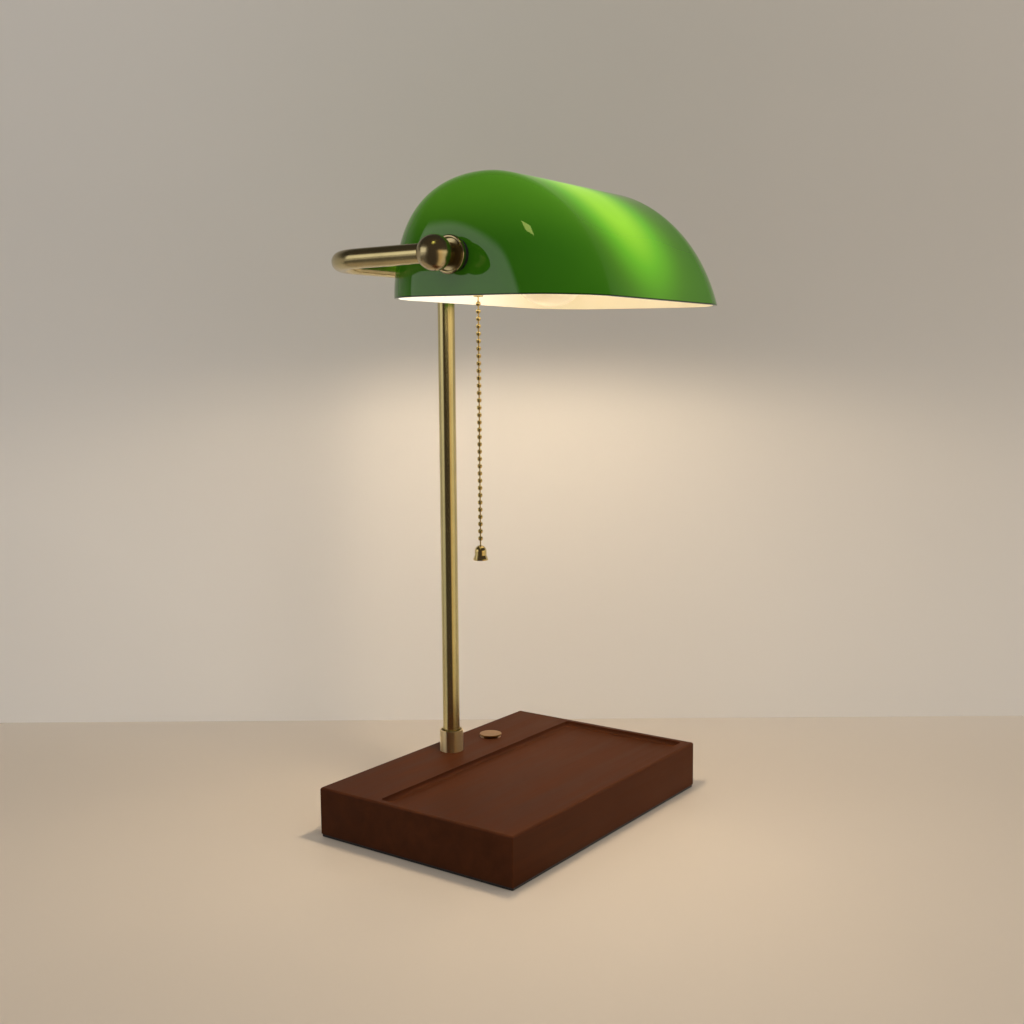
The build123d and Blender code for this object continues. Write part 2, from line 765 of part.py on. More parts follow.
def bulb_outline(inset):
    """Half outline of the bulb's glass from its tip to its neck, drawn in by inset."""
    radius = bulb_radius - inset
    turn = math.radians(bulb_shoulder_angle)
    crown = Vector(bulb_centre_x + radius, 0)
    shoulder = Vector(bulb_centre_x + radius * math.cos(turn), radius * math.sin(turn))
    neck = Vector(glass_x, bulb_neck_radius - inset)
    CenterArc((bulb_centre_x, 0), radius, 0, bulb_shoulder_angle)
    Spline(shoulder, neck, tangents=(Vector(-math.sin(turn), math.cos(turn)), Vector(-1, 0)))
    return crown, neck


with BuildPart() as bulb_glass:
    with BuildSketch(tilt_plane):
        with BuildLine():
            outer_crown, outer_neck = bulb_outline(0)
            inner_crown, inner_neck = bulb_outline(bulb_glass_wall)
            Line(outer_neck, inner_neck)
            Line(outer_crown, inner_crown)
        make_face()
    revolve(axis=tilt_axis)
finish(bulb_glass, "bulb_glass")

# Pull chain: guide, sliding link, swivel link, beads and bell
chain_axis = upright_axis(chain_x, tilt_y)
chain_plane = upright_plane(chain_x, tilt_y)
with BuildPart() as chain_guide:
    with BuildSketch(chain_plane):
        with BuildLine():
            Polyline(
                (guide_mouth_radius - guide_mouth_wall, guide_bottom_z),
                (guide_mouth_radius, guide_bottom_z),
                (guide_radius, guide_bottom_z + guide_mouth_length),
                (guide_radius, guide_top_z),
                (guide_bore, guide_top_z),
                (guide_bore, throat_top_z),
                (guide_throat, throat_top_z),
                (guide_throat, guide_bottom_z + guide_mouth_length),
                close=True,
            )
        make_face()
    revolve(axis=chain_axis)
finish(chain_guide, "chain_guide")

swing = math.radians(swing_angle)
slot_half_width = link_radius + face_gap
slot_start = slot_half_width / math.cos(swing)
slot_end = slot_start + bead_radius * math.tan(swing)
bead_cavity_radius = dumbbell_ball_radius + face_gap


def swing_slot(bead_z, swing_dir, flat_dir, rise):
    """Wedge-shaped slot in a bead, wide along swing_dir, for the link that swings in it."""
    with BuildPart() as slot:
        with BuildSketch(Plane(origin=(chain_x, tilt_y, bead_z), x_dir=swing_dir, z_dir=flat_dir)):
            with BuildLine():
                Polyline(
                    (-slot_start, 0),
                    (slot_start, 0),
                    (slot_end, rise),
                    (-slot_end, rise),
                    close=True,
                )
            make_face()
        extrude(amount=slot_half_width, both=True)
    return slot.part


with BuildPart() as pull_link:
    with Locations((chain_x, tilt_y, stop_bead_z), (chain_x, tilt_y, first_bead_z)):
        Sphere(bead_radius)
    with BuildSketch(Plane.XY.offset(first_bead_z)):
        with Locations((chain_x, tilt_y)):
            Circle(link_radius)
    extrude(amount=stop_bead_rise)
    with Locations((chain_x, tilt_y, first_bead_z)):
        Sphere(bead_cavity_radius, mode=Mode.SUBTRACT)
    add(swing_slot(first_bead_z, (1, 0, 0), (0, -1, 0), -bead_radius), mode=Mode.SUBTRACT)
finish(pull_link, "pull_link")

with BuildPart() as swivel_link:
    with Locations((chain_x, tilt_y, first_bead_z), (chain_x, tilt_y, second_bead_z)):
        Sphere(dumbbell_ball_radius)
    with BuildSketch(Plane.XY.offset(second_bead_z)):
        with Locations((chain_x, tilt_y)):
            Circle(link_radius)
    extrude(amount=bead_pitch)
finish(swivel_link, "swivel_link")

bead_edge = math.sqrt(bead_radius**2 - link_radius**2)
with BuildPart() as bead_chain:
    with BuildSketch(chain_plane):
        with BuildLine():
            Line((0, second_bead_z + bead_radius), (0, bell_top_z))
            Line((0, bell_top_z), (link_radius, bell_top_z))
            below_z = bell_top_z
            for index in range(bead_count - 1, 1, -1):
                bead_z = first_bead_z - index * bead_pitch
                Line((link_radius, below_z), (link_radius, bead_z - bead_edge))
                ThreePointArc(
                    (link_radius, bead_z - bead_edge),
                    (bead_radius, bead_z),
                    (link_radius, bead_z + bead_edge),
                )
                below_z = bead_z + bead_edge
            Line((link_radius, below_z), (link_radius, second_bead_z - bead_edge))
            ThreePointArc(
                (link_radius, second_bead_z - bead_edge),
                (bead_radius, second_bead_z),
                (0, second_bead_z + bead_radius),
            )
        make_face()
    revolve(axis=chain_axis)
    with Locations((chain_x, tilt_y, second_bead_z)):
        Sphere(bead_cavity_radius, mode=Mode.SUBTRACT)
    add(swing_slot(second_bead_z, (0, 1, 0), (1, 0, 0), bead_radius), mode=Mode.SUBTRACT)
finish(bead_chain, "bead_chain")

with BuildPart() as chain_bell:
    bell_bottom_z = bell_top_z - bell_height
    dome_foot_z = bell_top_z - bell_radius
    dome_side = bell_radius * math.sqrt(0.5)
    with BuildSketch(chain_plane):
        with BuildLine():
            ThreePointArc(
                (0, bell_top_z),
                (dome_side, dome_foot_z + dome_side),
                (bell_radius, dome_foot_z),
            )
            Polyline(
                (bell_radius, dome_foot_z),
                (bell_radius, bell_bottom_z + 2 * bell_lip_height),
                (bell_lip_radius, bell_bottom_z + bell_lip_height / 2),
                (bell_lip_radius, bell_bottom_z),
                (bell_radius, bell_bottom_z),
                (0, bell_bottom_z + bell_lip_height / 2),
                (0, bell_top_z),
            )
        make_face()
    revolve(axis=chain_axis)
finish(chain_bell, "chain_bell")

# Inner lead through the pole, the yoke and the left ball
lead_start_x = button_x - switch_width / 2
lead_end_x = -holder_back
with BuildPart() as inner_lead:
    with BuildLine() as lead_path:
        FilletPolyline(
            (lead_start_x, pole_y, lead_height),
            (0, pole_y, lead_height),
            (0, pole_y, yoke_z),
            (-ball_x, pole_y, yoke_z),
            (-ball_x, tilt_y, yoke_z),
            (lead_end_x, tilt_y, yoke_z),
            radius=(lead_foot_radius, lead_top_radius, yoke_bend_radius, lead_ball_radius),
        )
    with BuildSketch(Plane(origin=(lead_start_x, pole_y, lead_height), z_dir=(-1, 0, 0))):
        Circle(lead_diameter / 2)
    sweep(path=lead_path.wires()[0])
finish(inner_lead, "inner_lead")
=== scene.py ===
"""Looks of the banker's lamp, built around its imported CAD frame. Metres, the frame's own axes."""
import json
import math

import bmesh
import bpy
from mathutils import Matrix, Vector


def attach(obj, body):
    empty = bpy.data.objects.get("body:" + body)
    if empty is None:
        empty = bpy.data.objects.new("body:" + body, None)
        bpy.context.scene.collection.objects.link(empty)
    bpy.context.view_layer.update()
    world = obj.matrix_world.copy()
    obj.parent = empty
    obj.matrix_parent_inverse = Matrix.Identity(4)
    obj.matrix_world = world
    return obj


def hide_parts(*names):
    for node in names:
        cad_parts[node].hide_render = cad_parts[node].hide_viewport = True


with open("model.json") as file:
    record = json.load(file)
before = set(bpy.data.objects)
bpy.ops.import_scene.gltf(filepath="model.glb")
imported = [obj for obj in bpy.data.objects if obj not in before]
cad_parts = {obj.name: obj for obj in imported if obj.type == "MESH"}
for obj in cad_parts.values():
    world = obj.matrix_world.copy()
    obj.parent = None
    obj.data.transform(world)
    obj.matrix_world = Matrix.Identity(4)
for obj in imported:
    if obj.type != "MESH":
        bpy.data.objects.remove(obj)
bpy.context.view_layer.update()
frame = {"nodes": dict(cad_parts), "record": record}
nodes = frame["nodes"]
scene = bpy.context.scene

# Camera, solved from the base's corners and the shade's outline: degrees, lens and sensor in mm
CAMERA_AT = (-0.7231, -0.5159, 0.3199)
CAMERA_YAW = 35.65
CAMERA_PITCH = 6.41
CAMERA_ROLL = 0.40
CAMERA_LENS = 43.97
SENSOR_WIDTH = 36.0
NEAR_CLIP = 0.01

# Stage
WALL_DISTANCE = 1.129
WALL_HEIGHT = 3.0
FLOOR_DROP = 0.0002
FLOOR_REACH = 4.0
POLE_Y = 0.06

# Room that reflections see. A window is where it begins, is full, begins to end and ends.
# Turns are radians from the way behind the camera, positive to its left; heights are sines.
ROOM_DIM = (0.065, 0.052, 0.042)
ROOM_PALE = (1.15, 1.11, 1.02)
ROOM_WARM = (1.08, 0.95, 0.70)
ROOM_AMBER = (1.08, 0.80, 0.45)
PALE_TURNS = (0.78, 0.94, 1.55, 1.85)
WARM_TURNS = (-2.00, -1.50, -0.64, -0.38)
PALE_HEIGHTS = (-0.06, 0.02, 0.32, 0.50)
WARM_HEIGHTS = (-0.35, -0.15, 0.10, 0.22)
WORLD_FILL = (0.46, 0.445, 0.415)

# Light card: its face, and its place and half diagonals as (across, up) on that face
CARD_FACING = (-0.434, -0.242, 0.868)
CARD_ACROSS = (0.77, -0.58, 0.25)
CARD_AIM = (-0.707, -0.421, 1.62)
CARD_SHIFT = (-0.009, -0.025)
CARD_LONG = (0.0313, -0.1308)
CARD_SHORT = (0.1085, 0.0358)

# Lamps: places, and powers in watts
BULB_AT = (-0.02, -0.036, 0.360)
BULB_BELOW = (-0.02, -0.036, 0.0)
BULB_POWER = 3.1
BULB_CONE = 178.0
BULB_BLEND = 0.26
BULB_SOFTNESS = 0.030
GLINT_AT = (-0.0064, -0.0352, 0.391)
GLINT_POWER = 0.3
GLINT_RADIUS = 0.0279

# Places of painted light: the base's end and front faces, which are painted paler, and the bulb's painted
# glow in the glass
END_FACE_X = (-0.1196, -0.1180)
FRONT_FACE_Y = (-0.0816, -0.0800)
PAINTED_GLOW_X = -0.009
PAINTED_GLOW_WIDTH = 0.039

# Shade: the same two curves, rounded ends and lean as its solid
TILT_Y = -0.0352
TILT_Z = 0.391
SHADE_LEAN = 1.1
SHADE_HALF = 0.1105
SHADE_END_RADIUS = 0.0455
SHADE_RIM_Z = 0.3664
SHADE_CROWN = (-0.0288, 0.4474)
SHADE_BACK_Y = 0.0390
SHADE_FRONT_Y = -0.1206
SHADE_FRONT_SLOPE = 74.0
BACK_WALL_PULL = 0.0500
BACK_CROWN_PULL = 0.0446
FRONT_CROWN_PULL = 0.0332
FRONT_WALL_PULL = 0.0551
ROUND_PULL = 0.55
GLASS_WALL = 0.0026
LINING_WALL = 0.0008
SHADE_HOLE_RADIUS = 0.0070
GLASS_RIM_ROUND = 0.0004
LINING_RIM_ROUND = 0.0003

# Fineness of the shade's mesh
CURVE_POINTS = 120
ROW_POINTS = 91
END_STEPS = 18
MIDDLE_STEPS = 14
CUT_STEPS = 12
HOLE_POINTS = 36
RIM_TURNS = (30, 60, 90)

yaw, pitch, roll = (math.radians(a) for a in (CAMERA_YAW, CAMERA_PITCH, CAMERA_ROLL))
forward = Vector((math.cos(pitch) * math.cos(yaw), math.cos(pitch) * math.sin(yaw), -math.sin(pitch)))
right = Vector((math.sin(yaw), -math.cos(yaw), 0.0))
down = forward.cross(right)
level = Vector((math.cos(yaw), math.sin(yaw), 0.0))
lean = math.radians(SHADE_LEAN)


# Node helpers
def material(name):
    """A new node material with its Principled shader."""
    made = bpy.data.materials.new(name)
    made.use_nodes = True
    return made, made.node_tree, made.node_tree.nodes["Principled BSDF"]


def put(shader, **values):
    """Sets constant values on a shader's sockets; underscores in names stand for spaces."""
    for key, value in values.items():
        shader.inputs[key.replace("_", " ")].default_value = value


def node(tree, kind, **settings):
    made = tree.nodes.new(kind)
    for key, value in settings.items():
        setattr(made, key, value)
    return made


def feed(tree, socket, value):
    """Sets a number or a colour on a socket, or links an output to it."""
    if isinstance(value, (int, float)):
        socket.default_value = value
    elif isinstance(value, tuple):
        socket.default_value = (*value, 1.0)
    else:
        tree.links.new(value, socket)


def place(tree, scale=(1, 1, 1), offset=(0, 0, 0)):
    """Object-space coordinates, scaled and shifted."""
    coordinates = node(tree, "ShaderNodeTexCoord")
    mapping = node(tree, "ShaderNodeMapping")
    mapping.inputs["Scale"].default_value = scale
    mapping.inputs["Location"].default_value = offset
    tree.links.new(coordinates.outputs["Object"], mapping.inputs["Vector"])
    return mapping.outputs["Vector"]


def position(tree):
    """The X, Y and Z outputs of a point in object space."""
    coordinates = node(tree, "ShaderNodeTexCoord")
    parts = node(tree, "ShaderNodeSeparateXYZ")
    tree.links.new(coordinates.outputs["Object"], parts.inputs["Vector"])
    return parts.outputs


def noise(tree, vector, scale, detail, rough, distortion=0.0):
    made = node(tree, "ShaderNodeTexNoise")
    made.inputs["Scale"].default_value = scale
    made.inputs["Detail"].default_value = detail
    made.inputs["Roughness"].default_value = rough
    made.inputs["Distortion"].default_value = distortion
    tree.links.new(vector, made.inputs["Vector"])
    return made.outputs["Fac"]


def ramp(tree, factor, stops):
    """Colour ramp through (position, colour) stops."""
    made = node(tree, "ShaderNodeValToRGB")
    elements = made.color_ramp.elements
    while len(elements) < len(stops):
        elements.new(0.5)
    for element, (stop, colour) in zip(elements, stops):
        element.position = stop
        element.color = (*colour, 1.0)
    tree.links.new(factor, made.inputs["Fac"])
    return made.outputs["Color"]


def span(tree, value, from_range, to_range):
    """Maps a value smoothly from one range to another, clamped."""
    made = node(tree, "ShaderNodeMapRange", interpolation_type="SMOOTHSTEP")
    for socket, number in zip(("From Min", "From Max", "To Min", "To Max"), (*from_range, *to_range)):
        made.inputs[socket].default_value = number
    tree.links.new(value, made.inputs["Value"])
    return made.outputs["Result"]


def maths(tree, operation, first, second):
    made = node(tree, "ShaderNodeMath", operation=operation)
    feed(tree, made.inputs[0], first)
    feed(tree, made.inputs[1], second)
    return made.outputs["Value"]


def product(tree, first, *others):
    for other in others:
        first = maths(tree, "MULTIPLY", first, other)
    return first


def window(tree, value, limits):
    """1 inside a range with soft edges and 0 outside it."""
    opening = span(tree, value, limits[:2], (0.0, 1.0))
    return product(tree, opening, span(tree, value, limits[2:], (1.0, 0.0)))


def dot(tree, vector, axis):
    """Length of a vector along a fixed axis."""
    made = node(tree, "ShaderNodeVectorMath", operation="DOT_PRODUCT")
    tree.links.new(vector, made.inputs[0])
    made.inputs[1].default_value = axis
    return made.outputs["Value"]


def mix(tree, factor, first, second):
    """Mixes two colours."""
    made = node(tree, "ShaderNodeMix", data_type="RGBA")
    for index, value in ((0, factor), (6, first), (7, second)):
        feed(tree, made.inputs[index], value)
    return made.outputs[2]


def bump(tree, shader, height, strength, distance):
    made = node(tree, "ShaderNodeBump")
    made.inputs["Strength"].default_value = strength
    made.inputs["Distance"].default_value = distance
    tree.links.new(height, made.inputs["Height"])
    tree.links.new(made.outputs["Normal"], shader.inputs["Normal"])


# Materials
def make_wood():
    """Reddish brown stain over a quiet grain that runs along the base, with painted light: paler towards +X
    and on the end and front faces, standing in for light falling there.
    """
    made, tree, shader = material("stained_wood_painted_light_look")
    streaks = noise(tree, place(tree, (2.0, 30.0, 30.0)), scale=3.0, detail=5.0, rough=0.55, distortion=0.4)
    pores = noise(tree, place(tree, (16.0, 480.0, 480.0)), scale=1.6, detail=3.0, rough=0.6)
    cloud = noise(tree, place(tree), scale=7.0, detail=3.0, rough=0.5)
    at = position(tree)
    tone = ramp(tree, streaks, [
        (0.30, (0.044, 0.0124, 0.0043)),
        (0.50, (0.058, 0.0168, 0.0060)),
        (0.70, (0.074, 0.0222, 0.0080)),
    ])
    # Painted light: the stain is painted paler towards +X, on the end face, and on the front face (more so
    # towards its +X end). The paler colour mixed in below stands in for light falling there.
    along = span(tree, at["X"], (-0.10, 0.13), (0.0, 0.50))
    end_face_painted_light = span(tree, at["X"], END_FACE_X, (0.22, 0.0))
    front_face_painted_light = span(tree, at["Y"], FRONT_FACE_Y, (0.60, 0.0))
    front_painted_light_share = product(tree, front_face_painted_light, span(tree, at["X"], (-0.12, 0.10), (0.1, 1.0)))
    share = maths(tree, "ADD", along, maths(tree, "ADD", end_face_painted_light, front_painted_light_share))
    paler = mix(tree, share, tone, (0.100, 0.0320, 0.0125))
    stained = mix(tree, span(tree, cloud, (0.35, 0.70), (0.0, 0.30)), paler, (0.042, 0.0118, 0.0042))
    dark_pores = mix(tree, span(tree, pores, (0.58, 0.74), (0.0, 0.30)), stained, (0.018, 0.006, 0.0025))
    tree.links.new(dark_pores, shader.inputs["Base Color"])
    tree.links.new(span(tree, streaks, (0.3, 0.7), (0.50, 0.60)), shader.inputs["Roughness"])
    bump(tree, shader, pores, strength=0.08, distance=0.0003)
    put(shader, Specular_IOR_Level=0.06)
    return made


def make_felt():
    """Black fibres of the pad under the base."""
    made, tree, shader = material("felt_pad_look")
    fibres = noise(tree, place(tree), scale=900.0, detail=4.0, rough=0.7)
    shades = [(0.3, (0.006, 0.006, 0.007)), (0.7, (0.020, 0.020, 0.022))]
    tree.links.new(ramp(tree, fibres, shades), shader.inputs["Base Color"])
    bump(tree, shader, fibres, strength=0.5, distance=0.0006)
    put(shader, Roughness=0.95, Sheen_Weight=0.3)
    return made


def make_metal(name, dark, bright, rough, brush, turned=None, stretch=0.0):
    """Metal with fine brush lines and a faint uneven tone; turned work stretches its highlights."""
    made, tree, shader = material(name)
    lines = noise(tree, place(tree, brush), scale=1.0, detail=3.0, rough=0.6)
    cloud = noise(tree, place(tree), scale=35.0, detail=3.0, rough=0.5)
    tone = ramp(tree, cloud, [(0.30, dark), (0.60, bright)])
    fine = mix(tree, span(tree, lines, (0.3, 0.7), (0.0, 0.10)), tone, dark)
    tree.links.new(fine, shader.inputs["Base Color"])
    brushed = span(tree, lines, (0.25, 0.75), (rough - 0.02, rough + 0.02))
    tree.links.new(brushed, shader.inputs["Roughness"])
    bump(tree, shader, lines, strength=0.02, distance=0.0001)
    put(shader, Metallic=1.0)
    if turned:
        tangent = node(tree, "ShaderNodeTangent", direction_type="RADIAL", axis=turned)
        tree.links.new(tangent.outputs["Tangent"], shader.inputs["Tangent"])
        put(shader, Anisotropic=stretch, Anisotropic_Rotation=0.25)
    return made


def make_green_glass():
    """Deep green cased glass with a painted glow where the lit bulb is close behind it, darker in the lowest
    millimetre above the rim.
    """
    made, tree, shader = material("green_glass_painted_glow_look")
    at = position(tree)
    seed = noise(tree, place(tree), scale=12.0, detail=2.0, rough=0.5)
    green = ramp(tree, seed, [(0.30, (0.033, 0.150, 0.0055)), (0.70, (0.042, 0.178, 0.0075))])
    upright = Vector((0.0, -math.sin(lean), math.cos(lean)))
    rim_height = upright.dot((0.0, TILT_Y, TILT_Z)) + SHADE_RIM_Z - TILT_Z
    above_rim = maths(tree, "SUBTRACT", dot(tree, place(tree), upright), rim_height)
    # Darker in the lowest millimetre above the rim; the painted glow below fades out there too.
    rim_fade = span(tree, above_rim, (0.0004, 0.0013), (0.0, 1.0))
    tree.links.new(mix(tree, rim_fade, (0.006, 0.016, 0.003), green), shader.inputs["Base Color"])
    # Painted light: an emitted glow standing in for the bulb's light through the glass. It is a bell along X
    # about the bulb, strongest low on the shade and weaker at the crown, with a faint painted lift towards
    # the crown on the left and towards the right end.
    offset = maths(tree, "DIVIDE", maths(tree, "ADD", at["X"], -PAINTED_GLOW_X), PAINTED_GLOW_WIDTH)
    bell = maths(tree, "POWER", math.e, product(tree, offset, offset, -1.0))
    low_part = span(tree, at["Z"], (0.352, 0.424), (0.20, 1.0))
    crown_part = span(tree, at["Z"], (0.436, 0.449), (1.0, 0.55))
    near_crown = product(tree, span(tree, at["Z"], (0.392, 0.440), (0.0, 0.17)),
                         span(tree, at["X"], (-0.05, 0.03), (1.0, 0.0)))
    far_end = span(tree, at["X"], (0.0, 0.06), (0.0, 0.06))
    around = maths(tree, "ADD", near_crown, far_end)
    glow = product(tree, maths(tree, "ADD", product(tree, bell, low_part, crown_part), around), rim_fade)
    lit = ramp(tree, glow, [
        (0.00, (0.002, 0.012, 0.0003)),
        (0.17, (0.036, 0.090, 0.0045)),
        (0.55, (0.110, 0.350, 0.0120)),
        (1.00, (0.300, 0.615, 0.0270)),
    ])
    tree.links.new(lit, shader.inputs["Emission Color"])
    put(shader, Emission_Strength=1.0, Roughness=0.04, IOR=1.5)
    waves = noise(tree, place(tree), scale=26.0, detail=2.0, rough=0.4)
    bump(tree, shader, waves, strength=0.02, distance=0.002)
    return made


def make_lining():
    """Opal white lining with painted light: an emitted glow standing in for the bulb's light on it, warmer
    and dimmer away from the bulb.
    """
    made, tree, shader = material("opal_lining_painted_light_look")
    cloud = noise(tree, place(tree), scale=20.0, detail=3.0, rough=0.5)
    white = ramp(tree, cloud, [(0.3, (0.86, 0.82, 0.72)), (0.7, (0.92, 0.89, 0.80))])
    tree.links.new(white, shader.inputs["Base Color"])
    # Painted light: the lining's glow, warmer and dimmer away from the bulb.
    away = span(tree, position(tree)["X"], (-0.05, 0.10), (0.0, 1.0))
    lit = mix(tree, away, (0.66, 0.62, 0.54), (0.29, 0.215, 0.095))
    tree.links.new(lit, shader.inputs["Emission Color"])
    put(shader, Emission_Strength=1.0, Roughness=0.05)
    return made


def make_bulb():
    """Frosted bulb, switched on."""
    made, tree, shader = material("bulb_frost_look")
    frost = noise(tree, place(tree), scale=700.0, detail=3.0, rough=0.6)
    white = ramp(tree, frost, [(0.3, (0.80, 0.74, 0.62)), (0.7, (0.88, 0.82, 0.70))])
    tree.links.new(white, shader.inputs["Base Color"])
    reach = span(tree, position(tree)["X"], (-0.06, -0.01), (0.0, 1.0))
    lit = mix(tree, reach, (0.38, 0.26, 0.13), (0.50, 0.38, 0.20))
    tree.links.new(lit, shader.inputs["Emission Color"])
    put(shader, Emission_Strength=1.0, Roughness=0.25)
    return made


def make_plastic(name, low, high, rough):
    made, tree, shader = material(name)
    grain = noise(tree, place(tree), scale=500.0, detail=3.0, rough=0.6)
    tree.links.new(ramp(tree, grain, [(0.3, low), (0.7, high)]), shader.inputs["Base Color"])
    bump(tree, shader, grain, strength=0.15, distance=0.0002)
    put(shader, Roughness=rough)
    return made


turned_brass = make_metal(
    "turned_brass_look", (0.44, 0.365, 0.205), (0.52, 0.435, 0.25), rough=0.24, brush=(900, 60, 60),
    turned="X", stretch=0.3)
button_brass = make_metal(
    "button_brass_look", (0.40, 0.225, 0.080), (0.47, 0.275, 0.105), rough=0.30, brush=(300, 300, 60),
    turned="Z", stretch=0.4)
pole_brass = make_metal(
    "pole_brass_look", (0.57, 0.485, 0.235), (0.65, 0.555, 0.275), rough=0.24, brush=(900, 900, 6),
    turned="Z", stretch=0.8)
looks = {
    "stained_wood": make_wood(),
    "felt_pad": make_felt(),
    "ballast_iron": make_metal(
        "ballast_iron_look", (0.05, 0.05, 0.055), (0.10, 0.10, 0.11), rough=0.55, brush=(30, 30, 30)),
    "black_plastic": make_plastic(
        "black_plastic_look", (0.010, 0.010, 0.010), (0.022, 0.022, 0.022), rough=0.45),
    "satin_brass": make_metal(
        "satin_brass_look", (0.68, 0.555, 0.325), (0.78, 0.640, 0.380), rough=0.33, brush=(60, 60, 900),
        turned="Z", stretch=1.0),
    "antique_brass": make_metal(
        "antique_brass_look", (0.48, 0.40, 0.205), (0.56, 0.475, 0.250), rough=0.20, brush=(220, 220, 220)),
    "polished_brass": make_metal(
        "polished_brass_look", (0.60, 0.47, 0.20), (0.70, 0.55, 0.25), rough=0.16, brush=(90, 90, 90)),
    "holder_brass": make_metal(
        "holder_brass_look", (0.46, 0.33, 0.12), (0.56, 0.41, 0.17), rough=0.22, brush=(2000, 60, 60)),
    "grommet_rubber": make_plastic(
        "grommet_rubber_look", (0.012, 0.012, 0.012), (0.03, 0.03, 0.03), rough=0.6),
    "green_glass": make_green_glass(),
    "opal_lining": make_lining(),
    "zinc_steel": make_metal(
        "zinc_steel_look", (0.42, 0.42, 0.40), (0.56, 0.56, 0.54), rough=0.32, brush=(90, 90, 90)),
    "bulb_aluminium": make_metal(
        "bulb_aluminium_look", (0.60, 0.60, 0.59), (0.70, 0.70, 0.69), rough=0.3, brush=(900, 40, 40)),
    "bulb_frost": make_bulb(),
    "lead_plastic": make_plastic(
        "lead_plastic_look", (0.045, 0.028, 0.016), (0.075, 0.045, 0.026), rough=0.5),
}
own_looks = {
    "pole_tube": pole_brass,
    "ball_left": turned_brass,
    "ball_right": turned_brass,
    "flange_left": turned_brass,
    "flange_right": turned_brass,
    "button_cap": button_brass,
    "button_ferrule": button_brass,
}
for part in frame["record"]["subparts"]:
    obj = nodes[part["node"]]
    for slot in obj.material_slots:
        slot.material = own_looks.get(part["node"], looks[part["material_slot"]])
    obj.data.shade_smooth()


# Shade: an even, exactly smooth skin in the place of the faceted solids
def bezier(a, b, c, d):
    """Points along a cubic curve."""
    points = []
    for i in range(CURVE_POINTS):
        t = i / (CURVE_POINTS - 1)
        s = 1 - t
        points.append(a * s ** 3 + b * (3 * s * s * t) + c * (3 * s * t * t) + d * t ** 3)
    return points


def shade_profile(inset):
    """Fine (Y, Z) points of the end view, back rim over crown to front rim, with inward normals."""
    rise = math.radians(SHADE_FRONT_SLOPE)
    front_up = Vector((math.cos(rise), math.sin(rise)))
    front = Vector((SHADE_FRONT_Y + inset / math.sin(rise), SHADE_RIM_Z))
    back = Vector((SHADE_BACK_Y - inset, SHADE_RIM_Z))
    crown = Vector((SHADE_CROWN[0], SHADE_CROWN[1] - inset))
    drawn = ROUND_PULL * inset
    behind = bezier(back, back + Vector((0, BACK_WALL_PULL - drawn)),
                    crown + Vector((BACK_CROWN_PULL - drawn, 0)), crown)
    ahead = bezier(crown, crown - Vector((FRONT_CROWN_PULL - drawn, 0)),
                   front + front_up * (FRONT_WALL_PULL - drawn), front)
    points = behind + ahead[1:]
    normals = []
    for i in range(len(points)):
        along = points[min(i + 1, len(points) - 1)] - points[max(i - 1, 0)]
        normals.append(Vector((-along.y, along.x)).normalized())
    normals[0] = Vector((-1.0, 0.0))
    normals[-1] = Vector((math.sin(rise), -math.cos(rise)))
    return points, normals


def shade_stations(inset):
    """Places along X as (x, how far drawn in, turn of the rounding), from the left end to the right end."""
    radius = SHADE_END_RADIUS - inset
    flat = SHADE_HALF - SHADE_END_RADIUS
    stations = [(-flat + 2 * flat * i / MIDDLE_STEPS, 0.0, 0.0) for i in range(MIDDLE_STEPS + 1)]
    for i in range(1, END_STEPS + 1):
        turn = math.pi / 2 * i / END_STEPS
        x, draw = flat + radius * math.sin(turn), radius * (1 - math.cos(turn))
        stations.insert(0, (-x, draw, -turn))
        stations.append((x, draw, turn))
    return stations


def between(a, b, cut_z):
    """The (point, normal) at a height between two neighbours."""
    share = (cut_z - a[0].y) / (b[0].y - a[0].y)
    return a[0].lerp(b[0], share), a[1].lerp(b[1], share)


def shade_row(profile, draw, cut_z, count):
    """Even (point, normal) pairs along the end view, drawn in along its normals and cut at a height."""
    moved = [(p + n * draw, n) for p, n in zip(*profile)]
    top = max(range(len(moved)), key=lambda i: moved[i][0].y)
    first = top
    while first > 0 and moved[first - 1][0].y >= cut_z:
        first -= 1
    last = top
    while last < len(moved) - 1 and moved[last + 1][0].y >= cut_z:
        last += 1
    line = moved[first:last + 1]
    if first > 0:
        line.insert(0, between(moved[first - 1], moved[first], cut_z))
    elif line[0][0].y > cut_z:
        line.insert(0, (Vector((line[0][0].x, cut_z)), line[0][1]))
    if last < len(moved) - 1:
        line.append(between(moved[last], moved[last + 1], cut_z))
    lengths = [0.0]
    for a, b in zip(line, line[1:]):
        lengths.append(lengths[-1] + (b[0] - a[0]).length)
    row = []
    k = 0
    for i in range(count):
        want = lengths[-1] * i / (count - 1)
        while k < len(line) - 2 and lengths[k + 1] < want:
            k += 1
        share = (want - lengths[k]) / max(lengths[k + 1] - lengths[k], 1e-12)
        (a, a_way), (b, b_way) = line[k], line[k + 1]
        row.append((a.lerp(b, share), a_way.lerp(b_way, share).normalized()))
    return row


AXIS_AT = Matrix.Translation((0, TILT_Y, TILT_Z))
LEAN = AXIS_AT @ Matrix.Rotation(lean, 4, "X") @ AXIS_AT.inverted()


def corner(bm, ways, at, way=Vector((0, 0, 0))):
    """A vertex, with its exact normal kept in step; a zero normal is left to the mesh."""
    ways.append(LEAN.to_3x3() @ way)
    return bm.verts.new(LEAN @ at)


